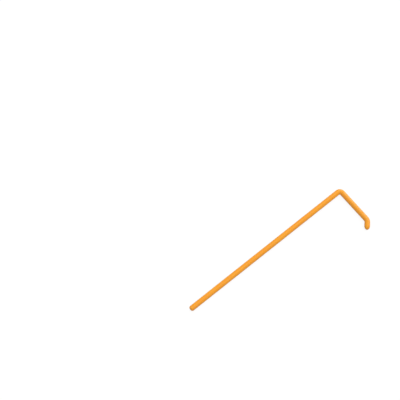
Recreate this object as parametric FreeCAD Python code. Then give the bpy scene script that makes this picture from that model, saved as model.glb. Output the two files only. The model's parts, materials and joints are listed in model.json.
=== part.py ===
"""L-shaped cell spreader, moulded in one piece as a round plastic bar.

A long straight handle turns square into a short spreading arm. The arm's free end turns on by half
a right angle into a short tip with a rounded nose, so that nothing sharp can dig into the agar. Both
turns lie in one plane, so the spreader lies flat on a bench. The handle's free end is rounded over
to a small flat, where the moulding was filled.

Frame: the origin is on the bench, under the middle of the spreader's outline. +X runs along the
handle from its free end to the corner, the arm runs along -Y, and +Z is up.
Sizes are in millimetres and angles in degrees.
"""
import FreeCAD, Part
import math
import os

from FreeCAD import Vector

# The bar
BAR_DIAMETER = 4.3

# Lengths along the centreline, to the points where its straight runs would cross
HANDLE_LENGTH = 148.0        # from the free end to the corner
ARM_LENGTH = 30.8            # from the corner to the tip's bend
TIP_LENGTH = 7.6             # from the tip's bend to the very end of the nose

# The two turns, both towards the same side, with the radius of the bar's wall on the inside
CORNER_TURN = 90.0
CORNER_INNER_RADIUS = 0.4
TIP_TURN = 45.0
TIP_INNER_RADIUS = 1.6

# The two ends: the tip's nose is half an ellipsoid, and the handle's flat end has a rounded rim
NOSE_LENGTH = 3.0
RIM_RADIUS = 1.8

BAR_RADIUS = BAR_DIAMETER / 2


def heading(turned):
    """Direction of the centreline once it has turned clockwise from +X by this angle."""
    angle = math.radians(turned)
    return Vector(math.cos(angle), -math.sin(angle), 0)


def bend(corner, turned, turn, inner_radius):
    """Arc that rounds off the centreline at a corner point and turns it further by this angle."""
    before = heading(turned)
    after = heading(turned + turn)
    half_turn = math.radians(turn) / 2
    radius = inner_radius + BAR_RADIUS
    setback = radius * math.tan(half_turn)
    inward = (after - before).normalize()
    middle = corner + inward * (radius / math.cos(half_turn) - radius)
    return Part.Arc(corner - before * setback, middle, corner + after * setback).toShape()


def centreline():
    """Centreline from the middle of the handle's flat end to where the tip's nose starts."""
    free_end = Vector(0, 0, BAR_RADIUS)
    corner = free_end + heading(0) * HANDLE_LENGTH
    tip_bend = corner + heading(CORNER_TURN) * ARM_LENGTH
    nose_start = tip_bend + heading(CORNER_TURN + TIP_TURN) * (TIP_LENGTH - NOSE_LENGTH)
    corner_arc = bend(corner, 0, CORNER_TURN, CORNER_INNER_RADIUS)
    tip_arc = bend(tip_bend, CORNER_TURN, TIP_TURN, TIP_INNER_RADIUS)
    return Part.Wire([
        Part.makeLine(free_end, corner_arc.firstVertex().Point),
        corner_arc,
        Part.makeLine(corner_arc.lastVertex().Point, tip_arc.firstVertex().Point),
        tip_arc,
        Part.makeLine(tip_arc.lastVertex().Point, nose_start),
    ])


def swept_bar(path):
    """Round bar along the centreline, cut off square at both ends."""
    circle = Part.Circle(path.Vertexes[0].Point, heading(0), BAR_RADIUS)
    return path.makePipeShell([Part.Wire(circle.toShape())], True, False)


def with_round_rim(bar, end):
    """The bar with the rim of its flat end, the one at this point, rounded off."""
    rims = [edge for edge in bar.Edges if edge.CenterOfMass.isEqual(end, BAR_RADIUS / 100)]
    return bar.makeFillet(RIM_RADIUS, rims)


def nose(start):
    """Nose of the tip: a quarter of an ellipse turned once round the tip's own line."""
    along = heading(CORNER_TURN + TIP_TURN)
    end = start + along * NOSE_LENGTH
    crest = start + Vector(0, 0, BAR_RADIUS)
    outline = Part.Arc(Part.Ellipse(end, crest, start), 0, math.pi / 2).toShape()
    sides = [Part.makeLine(crest, start), Part.makeLine(start, end)]
    return Part.Face(Part.Wire([outline] + sides)).revolve(start, along, 360)


def spreader():
    """The whole spreader, lying on the bench with the handle's free end over the origin."""
    path = centreline()
    bar = with_round_rim(swept_bar(path), path.Vertexes[0].Point)
    return bar.fuse(nose(path.Vertexes[-1].Point)).removeSplitter()


def centred(shape):
    """The shape moved along the bench, so that the middle of its outline is over the origin."""
    middle = shape.optimalBoundingBox(False, False).Center
    shape.translate(Vector(-middle.x, -middle.y, 0))
    return shape


os.makedirs("parts", exist_ok=True)
centred(spreader()).exportStep("parts/spreader.step")
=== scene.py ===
"""Makes the skin and finish of a moulded cell spreader, and a small white studio to show it in.

The file is laid out as an add-on. Property groups hold the sizes, colours and light levels, one
operator makes the moulding and one the studio, and main() calls them in order. The bar's length,
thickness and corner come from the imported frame, and the moulding replaces its node.
Lengths are in metres. The frame is the spreader's own: it lies on the bench at z = 0, with +X along
its handle towards the corner and its arm along -Y.
"""

import json
import math
from collections import namedtuple

import bmesh
import bpy
from bpy.props import FloatProperty, FloatVectorProperty, IntProperty, PointerProperty
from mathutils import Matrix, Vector


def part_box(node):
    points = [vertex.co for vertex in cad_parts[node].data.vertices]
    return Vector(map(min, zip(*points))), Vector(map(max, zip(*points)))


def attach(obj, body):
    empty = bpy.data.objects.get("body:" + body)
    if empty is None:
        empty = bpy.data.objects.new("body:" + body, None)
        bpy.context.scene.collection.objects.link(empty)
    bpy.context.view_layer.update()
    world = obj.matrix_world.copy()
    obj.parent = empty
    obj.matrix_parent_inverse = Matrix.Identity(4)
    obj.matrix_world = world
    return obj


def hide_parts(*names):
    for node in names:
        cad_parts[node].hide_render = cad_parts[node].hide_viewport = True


bl_info = {
    "name": "Cell Spreader",
    "version": (1, 0, 0),
    "blender": (4, 5, 0),
    "location": "3D View > Sidebar > Spreader",
    "description": "Makes a moulded L-shaped cell spreader and a studio to show it in",
    "category": "Object",
}

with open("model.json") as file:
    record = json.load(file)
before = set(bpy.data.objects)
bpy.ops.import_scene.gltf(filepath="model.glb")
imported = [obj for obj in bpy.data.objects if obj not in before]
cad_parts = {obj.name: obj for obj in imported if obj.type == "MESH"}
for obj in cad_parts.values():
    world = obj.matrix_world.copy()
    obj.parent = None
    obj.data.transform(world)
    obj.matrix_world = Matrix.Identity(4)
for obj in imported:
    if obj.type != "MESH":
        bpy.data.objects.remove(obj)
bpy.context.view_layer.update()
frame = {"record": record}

MM = 0.001
UP = Vector((0, 0, 1))
NODE = "spreader"
PLASTIC_IOR = 1.49
BENCH_ROUGHNESS = 0.9

# The angle between two rings of the rim is this many times a bend's
RIM_SPACING = 2

# Slack that keeps a span of whole steps from getting one more through rounding
ROUNDING = 1e-9

# A ring's point lies below the parting line where its angle's sine is more than this below zero
LEVEL = 1e-6

# The step at the parting line never takes more than this share of a ring's radius
LARGEST_STEP = 1 / 4

# The wall of the gate's mark slopes in by this share of the mark's depth
GATE_SLOPE = 1 / 2

# How much of each octave of noise the next finer one keeps
NOISE_ROUGHNESS = 0.55

# Ripples and rubs are this many times as long along the bar as they are wide
CLUMP_STRETCH = 2

# Noise keeps near 0.5. Each pair holds the values of it between which a finish changes
MOST_NOISE = (0.3, 0.7)
MIDDLE_NOISE = (0.35, 0.65)
HIGH_NOISE = (0.55, 0.65)

HANDLE = next(mount for mount in frame["record"]["mounts"] if mount["name"] == "handle")

# Name of the mesh attribute that holds each point's place on the bar as if it were straight
STRAIGHT = "place_on_straight_bar"

# One ring of the bar's skin: the ring's middle, the way the bar runs there, and the ring's radius
Ring = namedtuple("Ring", "middle heading radius")


class SpreaderShape(bpy.types.PropertyGroup):
    """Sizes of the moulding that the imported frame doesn't state"""

    tip_length: FloatProperty(
        name="Tip length",
        description="Length of the tip, from its bend's corner point to the end of the nose",
        default=7.6 * MM, min=5 * MM, max=12 * MM, unit="LENGTH",
    )
    nose_length: FloatProperty(
        name="Nose length",
        description="Length of the rounded nose that ends the tip",
        default=3.0 * MM, min=1 * MM, max=5 * MM, unit="LENGTH",
    )
    tip_turn: FloatProperty(
        name="Tip turn",
        description="Angle between the arm and the tip",
        default=math.radians(45), min=math.radians(10), max=math.radians(80), subtype="ANGLE",
    )
    tip_inner_radius: FloatProperty(
        name="Tip inner radius",
        description="Radius of the wall on the inside of the tip's bend",
        default=1.6 * MM, min=0.2 * MM, max=4 * MM, unit="LENGTH",
    )
    seam_step: FloatProperty(
        name="Seam step",
        description="How far the lower half of the moulding steps in at the parting line",
        default=0.03 * MM, min=0.0, max=0.1 * MM, unit="LENGTH",
    )
    seam_width: FloatProperty(
        name="Seam width",
        description="Angle round the bar over which it steps in",
        default=math.radians(2.5), min=math.radians(0.5), max=math.radians(5), subtype="ANGLE",
    )
    seam_fade: FloatProperty(
        name="Seam fade",
        description="Angle round the bar over which the step at the parting line dies away",
        default=math.radians(40), min=math.radians(5), max=math.radians(80), subtype="ANGLE",
    )
    gate_radius: FloatProperty(
        name="Gate radius",
        description="Radius of the mark where the gate was cut off the handle's free end",
        default=0.25 * MM, min=0.1 * MM, max=0.3 * MM, unit="LENGTH",
    )
    gate_depth: FloatProperty(
        name="Gate depth",
        description="Depth of that mark",
        default=0.08 * MM, min=0.02 * MM, max=0.2 * MM, unit="LENGTH",
    )
    ring_points: IntProperty(
        name="Ring points",
        description="Points round half of the bar",
        default=32, min=8, max=128,
    )
    run_spacing: FloatProperty(
        name="Run spacing",
        description="Distance between two rings on a straight run",
        default=3 * MM, min=1 * MM, max=20 * MM, unit="LENGTH",
    )
    bend_spacing: FloatProperty(
        name="Bend spacing",
        description="Angle between two rings in a bend or the nose. In the rim it is twice as large",
        default=math.radians(5), min=math.radians(1), max=math.radians(15), subtype="ANGLE",
    )


class SpreaderFinish(bpy.types.PropertyGroup):
    """Colours and surface of the plastic"""

    body: FloatVectorProperty(
        name="Body colour",
        description="Colour of most of the plastic",
        default=(0.96, 0.388, 0.004), size=3, min=0.0, max=1.0, subtype="COLOR",
    )
    streak: FloatVectorProperty(
        name="Streak colour",
        description="Colour of the streaks where the pigment is richer",
        default=(0.94, 0.318, 0.003), size=3, min=0.0, max=1.0, subtype="COLOR",
    )
    cut: FloatVectorProperty(
        name="Cut colour",
        description="Paler colour of the torn plastic where the gate was cut off",
        default=(0.93, 0.45, 0.05), size=3, min=0.0, max=1.0, subtype="COLOR",
    )
    streak_length: FloatProperty(
        name="Streak length",
        description="Usual length of a pigment streak along the bar",
        default=16 * MM, min=1 * MM, max=100 * MM, unit="LENGTH",
    )
    streak_width: FloatProperty(
        name="Streak width",
        description="Usual width of a pigment streak round the bar",
        default=0.9 * MM, min=0.1 * MM, max=10 * MM, unit="LENGTH",
    )
    roughness: FloatProperty(
        name="Roughness",
        description="Roughness of the satin mould finish",
        default=0.24, min=0.0, max=1.0, subtype="FACTOR",
    )
    roughness_spread: FloatProperty(
        name="Roughness spread",
        description="How much rougher the dullest lines are than the most polished ones",
        default=0.10, min=0.0, max=0.5, subtype="FACTOR",
    )
    line_length: FloatProperty(
        name="Polishing line length",
        description="Usual length of a polishing line that the mould left along the bar",
        default=5 * MM, min=0.5 * MM, max=50 * MM, unit="LENGTH",
    )
    line_width: FloatProperty(
        name="Polishing line width",
        description="Usual width of such a line",
        default=0.25 * MM, min=0.05 * MM, max=2 * MM, unit="LENGTH",
    )
    line_depth: FloatProperty(
        name="Polishing line depth",
        description="Depth of such a line",
        default=0.008 * MM, min=0.0, max=0.05 * MM, unit="LENGTH",
    )
    ripple_size: FloatProperty(
        name="Ripple size",
        description="Usual size of the soft ripples that shrinkage leaves in the skin",
        default=2.6 * MM, min=0.5 * MM, max=20 * MM, unit="LENGTH",
    )
    ripple_depth: FloatProperty(
        name="Ripple depth",
        description="Depth of those ripples",
        default=0.04 * MM, min=0.0, max=0.2 * MM, unit="LENGTH",
    )
    rub_size: FloatProperty(
        name="Rub size",
        description="Usual size of the dull patches where the spreaders rubbed in their bag",
        default=4 * MM, min=0.5 * MM, max=50 * MM, unit="LENGTH",
    )
    rub_roughness: FloatProperty(
        name="Rub roughness",
        description="How much roughness those patches add",
        default=0.14, min=0.0, max=0.5, subtype="FACTOR",
    )
    witness_width: FloatProperty(
        name="Witness line width",
        description="Width of the line that the mould's halves left along both sides of the bar",
        default=0.12 * MM, min=0.02 * MM, max=0.5 * MM, unit="LENGTH",
    )
    witness_height: FloatProperty(
        name="Witness line height",
        description="Height of that line above the skin",
        default=0.01 * MM, min=0.0, max=0.05 * MM, unit="LENGTH",
    )
    tear_size: FloatProperty(
        name="Tear size",
        description="Usual size of the torn grain where the gate was cut off",
        default=0.12 * MM, min=0.02 * MM, max=1 * MM, unit="LENGTH",
    )
    tear_depth: FloatProperty(
        name="Tear depth",
        description="Depth of that grain",
        default=0.03 * MM, min=0.0, max=0.1 * MM, unit="LENGTH",
    )
    tear_roughness: FloatProperty(
        name="Tear roughness",
        description="Roughness of the smoothest of that grain",
        default=0.6, min=0.0, max=1.0, subtype="FACTOR",
    )
    tear_roughness_spread: FloatProperty(
        name="Tear roughness spread",
        description="How much rougher the roughest of it is",
        default=0.25, min=0.0, max=0.5, subtype="FACTOR",
    )


class SpreaderLight(bpy.types.PropertyGroup):
    """Two large soft lamps and the surroundings"""

    side_azimuth: FloatProperty(
        name="Side lamp azimuth",
        description="Direction of the side lamp round the spreader, from +X towards +Y",
        default=math.radians(15), subtype="ANGLE",
    )
    side_elevation: FloatProperty(
        name="Side lamp elevation",
        description="Height of the side lamp above the bench, as an angle",
        default=math.radians(29), subtype="ANGLE",
    )
    side_size: FloatProperty(
        name="Side lamp size",
        description="Side of the side lamp's square diffuser",
        default=4.1, min=0.1, unit="LENGTH",
    )
    side_power: FloatProperty(
        name="Side lamp power",
        description="Power of the side lamp in watts",
        default=96.0, min=0.0,
    )
    top_size: FloatProperty(
        name="Top lamp size",
        description="Side of the square diffuser of the lamp straight above",
        default=4.0, min=0.1, unit="LENGTH",
    )
    top_power: FloatProperty(
        name="Top lamp power",
        description="Power of the lamp straight above in watts",
        default=20.0, min=0.0,
    )
    lamp_distance: FloatProperty(
        name="Lamp distance",
        description="Distance of both lamps from the spreader",
        default=4.0, min=0.5, unit="LENGTH",
    )
    surroundings: FloatProperty(
        name="Surroundings",
        description="Strength of the soft light from all round",
        default=0.7, min=0.0, max=1.0,
    )


class SpreaderStudio(bpy.types.PropertyGroup):
    """Bench and camera"""

    bench_size: FloatProperty(
        name="Bench size",
        description="Side of the square bench top",
        default=4.0, min=0.5, unit="LENGTH",
    )
    bench_shade: FloatProperty(
        name="Bench shade",
        description="How much of the light the bench top throws back",
        default=0.16, min=0.0, max=1.0, subtype="FACTOR",
    )
    bench_glow: FloatProperty(
        name="Bench glow",
        description="White that the bench top shows by itself, where 1 is pure white",
        default=0.88, min=0.0, max=1.0,
    )
    azimuth: FloatProperty(
        name="Camera azimuth",
        description="Turn of the camera round the spreader; at 0 it looks along +Y",
        default=math.radians(-38.68), subtype="ANGLE",
    )
    elevation: FloatProperty(
        name="Camera elevation",
        description="Height of the camera above the horizon, as an angle",
        default=math.radians(70.82), subtype="ANGLE",
    )
    distance: FloatProperty(
        name="Camera distance",
        description="Distance from the camera to the point that it is aimed at",
        default=0.554, min=0.1, unit="LENGTH",
    )
    aim: FloatVectorProperty(
        name="Camera aim",
        description="Point on the bench in the middle of the picture",
        default=(-0.016, 0.07955, 0.0), size=3, subtype="XYZ", unit="LENGTH",
    )
    lens: FloatProperty(
        name="Lens",
        description="Focal length on a 36 mm sensor, in millimetres",
        default=64.5, min=20, max=200,
    )


def heading(turned):
    """Direction of the bar once it has turned clockwise from +X by this angle."""
    return Vector((math.cos(turned), -math.sin(turned), 0))


def steps(span, spacing):
    """Shares from 0 to 1 that cut a span into equal pieces no longer than the spacing."""
    count = max(1, math.ceil(span / spacing - ROUNDING))
    return [i / count for i in range(count + 1)]


def rim_rings(end, rim, radius, spacing):
    """Rings over the rounded rim of the handle's flat end."""
    rings = []
    for share in steps(math.pi / 2, spacing):
        angle = share * math.pi / 2
        middle = end + heading(0) * rim * (1 - math.cos(angle))
        rings.append(Ring(middle, heading(0), radius - rim + rim * math.sin(angle)))
    return rings


def run_rings(start, end, radius, spacing):
    """Rings along a straight run of the bar, without its two ends."""
    along = (end - start).normalized()
    shares = steps((end - start).length, spacing)[1:-1]
    return [Ring(start.lerp(end, share), along, radius) for share in shares]


def bend_rings(corner, turned, turn, bend_radius, radius, spacing):
    """Rings round a bend, from the end of one straight run to the start of the next."""
    start = corner - heading(turned) * bend_radius * math.tan(turn / 2)
    centre = start + heading(turned + math.pi / 2) * bend_radius
    rings = []
    for share in steps(turn, spacing):
        now = turned + share * turn
        rings.append(Ring(centre - heading(now + math.pi / 2) * bend_radius, heading(now), radius))
    return rings


def nose_rings(start, along, length, radius, spacing):
    """Rings over the tip's nose, which is half an ellipsoid, up to but not including its very end."""
    rings = []
    for share in steps(math.pi / 2, spacing)[:-1]:
        angle = share * math.pi / 2
        rings.append(Ring(start + along * length * math.sin(angle), along, radius * math.cos(angle)))
    return rings


def tip_bend_corner(shape, corner, radius, lowest_y):
    """Corner point of the tip's bend, found from how far the nose reaches along -Y."""
    along = heading(math.pi / 2 + shape.tip_turn)
    nose_reach = math.hypot(shape.nose_length * along.y, radius * along.x)
    nose_start_y = lowest_y + nose_reach
    return Vector((corner.x, nose_start_y - along.y * (shape.tip_length - shape.nose_length), corner.z))


def bar_rings(shape):
    """All rings of the bar, from the handle's flat end to the tip, and the very end of the tip."""
    low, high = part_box(NODE)
    # The mount starts on the bar's middle line, where the rim ends. The radius comes from the packed
    # mesh's box and not from the mount: that mesh's facets reach a few thousandths of a millimetre
    # less far than the true bar, and the skin has to stay inside the box.
    wall_start = Vector(HANDLE["pos_m"])
    radius = high.y - wall_start.y
    rim = wall_start.x - low.x
    end = wall_start - heading(0) * rim
    corner = Vector((high.x - radius, end.y, end.z))
    corner_radius = corner.x - (wall_start.x + HANDLE["dims"]["length_mm"] * MM)
    tip_bend = tip_bend_corner(shape, corner, radius, low.y)
    tip_radius = shape.tip_inner_radius + radius
    along_tip = heading(math.pi / 2 + shape.tip_turn)
    nose_start = tip_bend + along_tip * (shape.tip_length - shape.nose_length)
    rim_part = rim_rings(end, rim, radius, shape.bend_spacing * RIM_SPACING)
    corner_part = bend_rings(corner, 0, math.pi / 2, corner_radius, radius, shape.bend_spacing)
    tip_part = bend_rings(tip_bend, math.pi / 2, shape.tip_turn, tip_radius, radius, shape.bend_spacing)
    rings = rim_part
    rings += run_rings(rim_part[-1].middle, corner_part[0].middle, radius, shape.run_spacing)
    rings += corner_part
    rings += run_rings(corner_part[-1].middle, tip_part[0].middle, radius, shape.run_spacing)
    rings += tip_part
    rings += run_rings(tip_part[-1].middle, nose_start, radius, shape.run_spacing)
    rings += nose_rings(nose_start, along_tip, shape.nose_length, radius, shape.bend_spacing)
    return rings, nose_start + along_tip * shape.nose_length


def ring_angles(shape):
    """Angles of a ring's points round the bar, with close pairs where the mould's halves met."""
    half = [i * math.pi / shape.ring_points for i in range(shape.ring_points)]
    lower = [math.pi + angle for angle in half]
    return half + lower[:1] + [math.pi + shape.seam_width] + lower[1:] + [2 * math.pi - shape.seam_width]


class Skin:
    """The moulding's skin while it is made: its mesh, and each point's place on the straight bar."""

    def __init__(self, shape):
        self.shape = shape
        self.mesh = bmesh.new()
        self.straight = self.mesh.verts.layers.float_vector.new(STRAIGHT)
        self.angles = ring_angles(shape)

    def reach(self, radius, angle):
        """Distance of the skin from the bar's middle. Angle 0 is level and to the bar's left."""
        below = -math.sin(angle)
        if below < LEVEL:
            return radius
        fade = max(0.0, 1 - math.asin(min(1.0, below)) / self.shape.seam_fade)
        return radius - min(self.shape.seam_step * fade * fade, radius * LARGEST_STEP)

    def point(self, place, straight):
        """Adds one point and keeps its place on the straight bar."""
        vert = self.mesh.verts.new(place)
        vert[self.straight] = straight
        return vert

    def ring(self, ring, travelled):
        """Adds one ring of points, this far along the bar."""
        left = UP.cross(ring.heading)
        points = []
        for angle in self.angles:
            reach = self.reach(ring.radius, angle)
            across, rise = reach * math.cos(angle), reach * math.sin(angle)
            place = ring.middle + left * across + UP * rise
            points.append(self.point(place, (travelled, across, rise)))
        return points

    def bridge(self, first, second, material=0):
        """Joins two rings of points with faces."""
        for i, vert in enumerate(first):
            following = (i + 1) % len(first)
            face = self.mesh.faces.new((vert, first[following], second[following], second[i]))
            face.material_index = material

    def close(self, ring, place, travelled, material=0):
        """Closes the skin from a ring to a single point."""
        middle = self.point(place, (travelled, 0, 0))
        for i, vert in enumerate(ring):
            face = self.mesh.faces.new((vert, ring[(i + 1) % len(ring)], middle))
            face.material_index = material

    def crease(self, ring):
        """Keeps the edge along a ring sharp."""
        for i, vert in enumerate(ring):
            self.mesh.edges.get((vert, ring[(i + 1) % len(ring)])).smooth = False

    def finish(self):
        """The finished mesh."""
        bmesh.ops.recalc_face_normals(self.mesh, faces=self.mesh.faces)
        for face in self.mesh.faces:
            face.smooth = True
        data = bpy.data.meshes.new("moulding")
        self.mesh.to_mesh(data)
        self.mesh.free()
        return data


def bar_mesh(shape):
    """The whole skin of the moulding as one closed mesh, with the gate's mark as material 1."""
    rings, tip_end = bar_rings(shape)
    skin = Skin(shape)
    travelled = 0.0
    made = []
    # Each ring goes with the one before it, and the first with itself
    for before, ring in zip(rings[:1] + rings, rings):
        travelled += (ring.middle - before.middle).length
        made.append(skin.ring(ring, travelled))
    for first, second in zip(made, made[1:]):
        skin.bridge(first, second)
    skin.close(made[-1], tip_end, travelled)
    end = rings[0].middle
    bed_middle = end + heading(0) * shape.gate_depth
    bed_radius = shape.gate_radius - shape.gate_depth * GATE_SLOPE
    mouth = skin.ring(Ring(end, heading(0), shape.gate_radius), 0.0)
    bed = skin.ring(Ring(bed_middle, heading(0), bed_radius), 0.0)
    skin.bridge(mouth, made[0])
    skin.bridge(bed, mouth, 1)
    skin.close(bed, bed_middle, 0.0, 1)
    skin.crease(mouth)
    return skin.finish()


class Nodes:
    """Small helper that adds and joins shader nodes."""

    def __init__(self, tree):
        self.tree = tree

    def add(self, kind, **values):
        """Adds a node and sets its fields, or its inputs where it has no such field."""
        node = self.tree.nodes.new(kind)
        for name, value in values.items():
            if hasattr(node, name):
                setattr(node, name, value)
            else:
                node.inputs[name.replace("_", " ")].default_value = value
        return node

    def join(self, output, socket):
        """Joins an output to an input."""
        self.tree.links.new(output, socket)


def stretched_noise(nodes, place, length, width, detail):
    """Noise whose clumps have this length along the bar and this width round it."""
    scale = nodes.add("ShaderNodeVectorMath", operation="MULTIPLY")
    scale.inputs[1].default_value = (1 / length, 1 / width, 1 / width)
    nodes.join(place.outputs["Vector"], scale.inputs[0])
    noise = nodes.add("ShaderNodeTexNoise", Scale=1.0, Detail=detail, Roughness=NOISE_ROUGHNESS)
    nodes.join(scale.outputs["Vector"], noise.inputs["Vector"])
    return noise.outputs["Fac"]


def ranged(nodes, value, span, low, high):
    """A value spread over a range: low up to the span's start, and high from its end on."""
    start, end = span
    spread = nodes.add("ShaderNodeMapRange", From_Min=start, From_Max=end, To_Min=low, To_Max=high)
    nodes.join(value, spread.inputs["Value"])
    return spread.outputs["Result"]


def combined(nodes, operation, first, second):
    """The sum, the product or another combination of two values."""
    both = nodes.add("ShaderNodeMath", operation=operation)
    nodes.join(first, both.inputs[0])
    nodes.join(second, both.inputs[1])
    return both.outputs[0]


def tinted(nodes, factor, first, second):
    """One colour turning into another as the factor goes from 0 to 1."""
    tint = nodes.add("ShaderNodeMix", data_type="RGBA")
    tint.inputs["A"].default_value = (*first, 1)
    tint.inputs["B"].default_value = (*second, 1)
    nodes.join(factor, tint.inputs["Factor"])
    return tint.outputs["Result"]


def bumped(nodes, height, depth, below=None):
    """Bump of this depth, on top of another one if there is one below."""
    bump = nodes.add("ShaderNodeBump", Distance=depth)
    nodes.join(height, bump.inputs["Height"])
    if below:
        nodes.join(below, bump.inputs["Normal"])
    return bump.outputs["Normal"]


def witness_line(nodes, place, width):
    """1 in the middle of the line where the mould's halves met, falling to 0 at its sides."""
    parts = nodes.add("ShaderNodeSeparateXYZ")
    nodes.join(place.outputs["Vector"], parts.inputs[0])
    height = nodes.add("ShaderNodeMath", operation="ABSOLUTE")
    nodes.join(parts.outputs["Z"], height.inputs[0])
    return ranged(nodes, height.outputs[0], (0.0, width / 2), 1.0, 0.0)


def plastic_nodes(name):
    """New material of bare plastic, and what its nodes are made from."""
    material = bpy.data.materials.new(name)
    material.use_nodes = True
    shader = material.node_tree.nodes["Principled BSDF"]
    shader.inputs["IOR"].default_value = PLASTIC_IOR
    nodes = Nodes(material.node_tree)
    return material, shader, nodes, nodes.add("ShaderNodeAttribute", attribute_name=STRAIGHT)


def plastic(finish):
    """Satin orange plastic: pigment streaks, polishing lines, soft ripples, rubs and a witness line."""
    material, shader, nodes, place = plastic_nodes("satin_orange_plastic")
    ripple_length = finish.ripple_size * CLUMP_STRETCH
    rub_length = finish.rub_size * CLUMP_STRETCH
    streaks = stretched_noise(nodes, place, finish.streak_length, finish.streak_width, detail=3.0)
    lines = stretched_noise(nodes, place, finish.line_length, finish.line_width, detail=2.0)
    ripples = stretched_noise(nodes, place, ripple_length, finish.ripple_size, detail=1.0)
    rubs = stretched_noise(nodes, place, rub_length, finish.rub_size, detail=4.0)
    witness = witness_line(nodes, place, finish.witness_width)
    # The witness line is as rich in pigment as the streaks
    richness = combined(nodes, "MAXIMUM", ranged(nodes, streaks, MOST_NOISE, 0.0, 1.0), witness)
    nodes.join(tinted(nodes, richness, finish.body, finish.streak), shader.inputs["Base Color"])
    low = finish.roughness - finish.roughness_spread / 2
    polish = ranged(nodes, lines, MOST_NOISE, low, low + finish.roughness_spread)
    rubbed = ranged(nodes, rubs, HIGH_NOISE, 0.0, finish.rub_roughness)
    nodes.join(combined(nodes, "ADD", polish, rubbed), shader.inputs["Roughness"])
    skin = bumped(nodes, ripples, finish.ripple_depth)
    skin = bumped(nodes, lines, finish.line_depth, skin)
    nodes.join(bumped(nodes, witness, finish.witness_height, skin), shader.inputs["Normal"])
    return material


def cut_plastic(finish):
    """Paler, duller plastic with a torn grain, where the gate was cut off."""
    material, shader, nodes, place = plastic_nodes("cut_orange_plastic")
    tear = stretched_noise(nodes, place, finish.tear_size, finish.tear_size, detail=4.0)
    torn = ranged(nodes, tear, MIDDLE_NOISE, 0.0, 1.0)
    nodes.join(tinted(nodes, torn, finish.body, finish.cut), shader.inputs["Base Color"])
    low = finish.tear_roughness
    dull = ranged(nodes, tear, MIDDLE_NOISE, low, low + finish.tear_roughness_spread)
    nodes.join(dull, shader.inputs["Roughness"])
    nodes.join(bumped(nodes, tear, finish.tear_depth), shader.inputs["Normal"])
    return material


def seen_directly(nodes):
    """1 where the eye, a reflection or a view through glass meets a surface, and 0 for light."""
    path = nodes.add("ShaderNodeLightPath")
    seen = path.outputs["Is Camera Ray"]
    for ray in ("Is Glossy Ray", "Is Transmission Ray"):
        seen = combined(nodes, "MAXIMUM", seen, path.outputs[ray])
    return seen


def white_bench(studio):
    """White bench top that keeps a soft shadow under the spreader."""
    material = bpy.data.materials.new("white_bench")
    material.use_nodes = True
    nodes = Nodes(material.node_tree)
    shader = material.node_tree.nodes["Principled BSDF"]
    shader.inputs["Base Color"].default_value = (*[studio.bench_shade] * 3, 1)
    shader.inputs["Roughness"].default_value = BENCH_ROUGHNESS
    shader.inputs["Specular IOR Level"].default_value = 0.0
    shader.inputs["Emission Color"].default_value = (1, 1, 1, 1)
    glow = nodes.add("ShaderNodeMath", operation="MULTIPLY")
    nodes.join(seen_directly(nodes), glow.inputs[0])
    glow.inputs[1].default_value = studio.bench_glow
    nodes.join(glow.outputs[0], shader.inputs["Emission Strength"])
    return material


def add_object(name, data):
    """Links a new object into the scene."""
    made = bpy.data.objects.new(name, data)
    bpy.context.scene.collection.objects.link(made)
    return made


def add_bench(studio):
    """Flat bench top that the spreader lies on."""
    half = studio.bench_size / 2
    data = bpy.data.meshes.new("bench")
    corners = [(-half, -half, 0), (half, -half, 0), (half, half, 0), (-half, half, 0)]
    data.from_pydata(corners, [], [(0, 1, 2, 3)])
    data.materials.append(white_bench(studio))
    add_object("bench", data)


def add_lamp(name, way, distance, size, power):
    """Square soft lamp that lies this way from the spreader, turned towards it."""
    data = bpy.data.lights.new(name, "AREA")
    data.size = size
    data.energy = power
    lamp = add_object(name, data)
    lamp.location = way * distance
    lamp.rotation_euler = (-way).to_track_quat("-Z", "Y").to_euler()


def add_lamps(light):
    """One lamp at the side and one straight above."""
    level = heading(-light.side_azimuth) * math.cos(light.side_elevation)
    side = level + UP * math.sin(light.side_elevation)
    add_lamp("side_lamp", side, light.lamp_distance, light.side_size, light.side_power)
    add_lamp("top_lamp", UP, light.lamp_distance, light.top_size, light.top_power)


def add_surroundings(strength):
    """Soft light from all round, from surroundings that look white."""
    world = bpy.data.worlds.new("surroundings")
    bpy.context.scene.world = world
    world.use_nodes = True
    nodes = Nodes(world.node_tree)
    light = world.node_tree.nodes["Background"]
    light.inputs["Color"].default_value = (1, 1, 1, 1)
    light.inputs["Strength"].default_value = strength
    white = nodes.add("ShaderNodeBackground", Color=(1, 1, 1, 1), Strength=1.0)
    choose = nodes.add("ShaderNodeMixShader")
    nodes.join(seen_directly(nodes), choose.inputs["Fac"])
    nodes.join(light.outputs[0], choose.inputs[1])
    nodes.join(white.outputs[0], choose.inputs[2])
    nodes.join(choose.outputs[0], world.node_tree.nodes["World Output"].inputs["Surface"])


def add_camera(studio):
    """Camera that looks down on the spreader."""
    data = bpy.data.cameras.new("camera")
    data.lens = studio.lens
    level = math.cos(studio.elevation)
    back = Vector((
        math.sin(studio.azimuth) * level,
        -math.cos(studio.azimuth) * level,
        math.sin(studio.elevation),
    ))
    camera = add_object("camera", data)
    camera.location = Vector(studio.aim) + back * studio.distance
    camera.rotation_euler = (-back).to_track_quat("-Z", "Y").to_euler()
    bpy.context.scene.camera = camera


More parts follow.
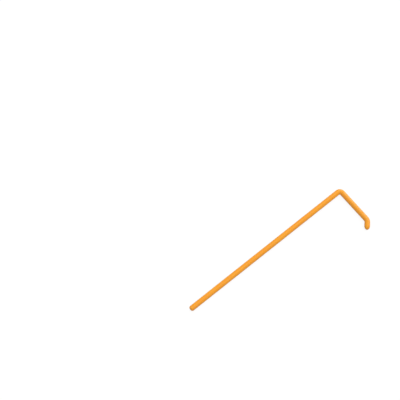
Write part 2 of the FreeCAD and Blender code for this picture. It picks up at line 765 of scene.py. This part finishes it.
class SPREADER_OT_moulding(bpy.types.Operator):
    """Makes the one-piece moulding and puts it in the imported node's place"""

    bl_idname = "spreader.moulding"
    bl_label = "Make moulding"

    def execute(self, context):
        finish = context.scene.spreader_finish
        moulding = add_object("moulding", bar_mesh(context.scene.spreader_shape))
        moulding.data.materials.append(plastic(finish))
        moulding.data.materials.append(cut_plastic(finish))
        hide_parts(NODE)
        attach(moulding, "root")
        return {"FINISHED"}


class SPREADER_OT_studio(bpy.types.Operator):
    """Makes the bench, the lamps, the surroundings and the camera"""

    bl_idname = "spreader.studio"
    bl_label = "Make studio"

    def execute(self, context):
        light = context.scene.spreader_light
        studio = context.scene.spreader_studio
        add_bench(studio)
        add_lamps(light)
        add_surroundings(light.surroundings)
        add_camera(studio)
        context.scene.view_settings.view_transform = "Standard"
        return {"FINISHED"}


class SPREADER_PT_panel(bpy.types.Panel):
    """Sidebar panel with the spreader's operators and their settings"""

    bl_idname = "SPREADER_PT_panel"
    bl_label = "Cell Spreader"
    bl_space_type = "VIEW_3D"
    bl_region_type = "UI"
    bl_category = "Spreader"

    def draw(self, context):
        scene = context.scene
        for operator, groups in (
            (SPREADER_OT_moulding, (scene.spreader_shape, scene.spreader_finish)),
            (SPREADER_OT_studio, (scene.spreader_light, scene.spreader_studio)),
        ):
            self.layout.operator(operator.bl_idname)
            for group in groups:
                for name in group.__annotations__:
                    self.layout.prop(group, name)


GROUPS = {
    "spreader_shape": SpreaderShape,
    "spreader_finish": SpreaderFinish,
    "spreader_light": SpreaderLight,
    "spreader_studio": SpreaderStudio,
}
CLASSES = (*GROUPS.values(), SPREADER_OT_moulding, SPREADER_OT_studio, SPREADER_PT_panel)


def register():
    """Registers the classes and gives each scene its settings."""
    for each in CLASSES:
        bpy.utils.register_class(each)
    for name, group in GROUPS.items():
        setattr(bpy.types.Scene, name, PointerProperty(type=group))


def unregister():
    """Takes the settings and the classes away again."""
    for name in GROUPS:
        delattr(bpy.types.Scene, name)
    for each in reversed(CLASSES):
        bpy.utils.unregister_class(each)


def main():
    """Makes the moulding and the studio."""
    register()
    bpy.ops.spreader.moulding()
    bpy.ops.spreader.studio()


if __name__ == "__main__":
    main()
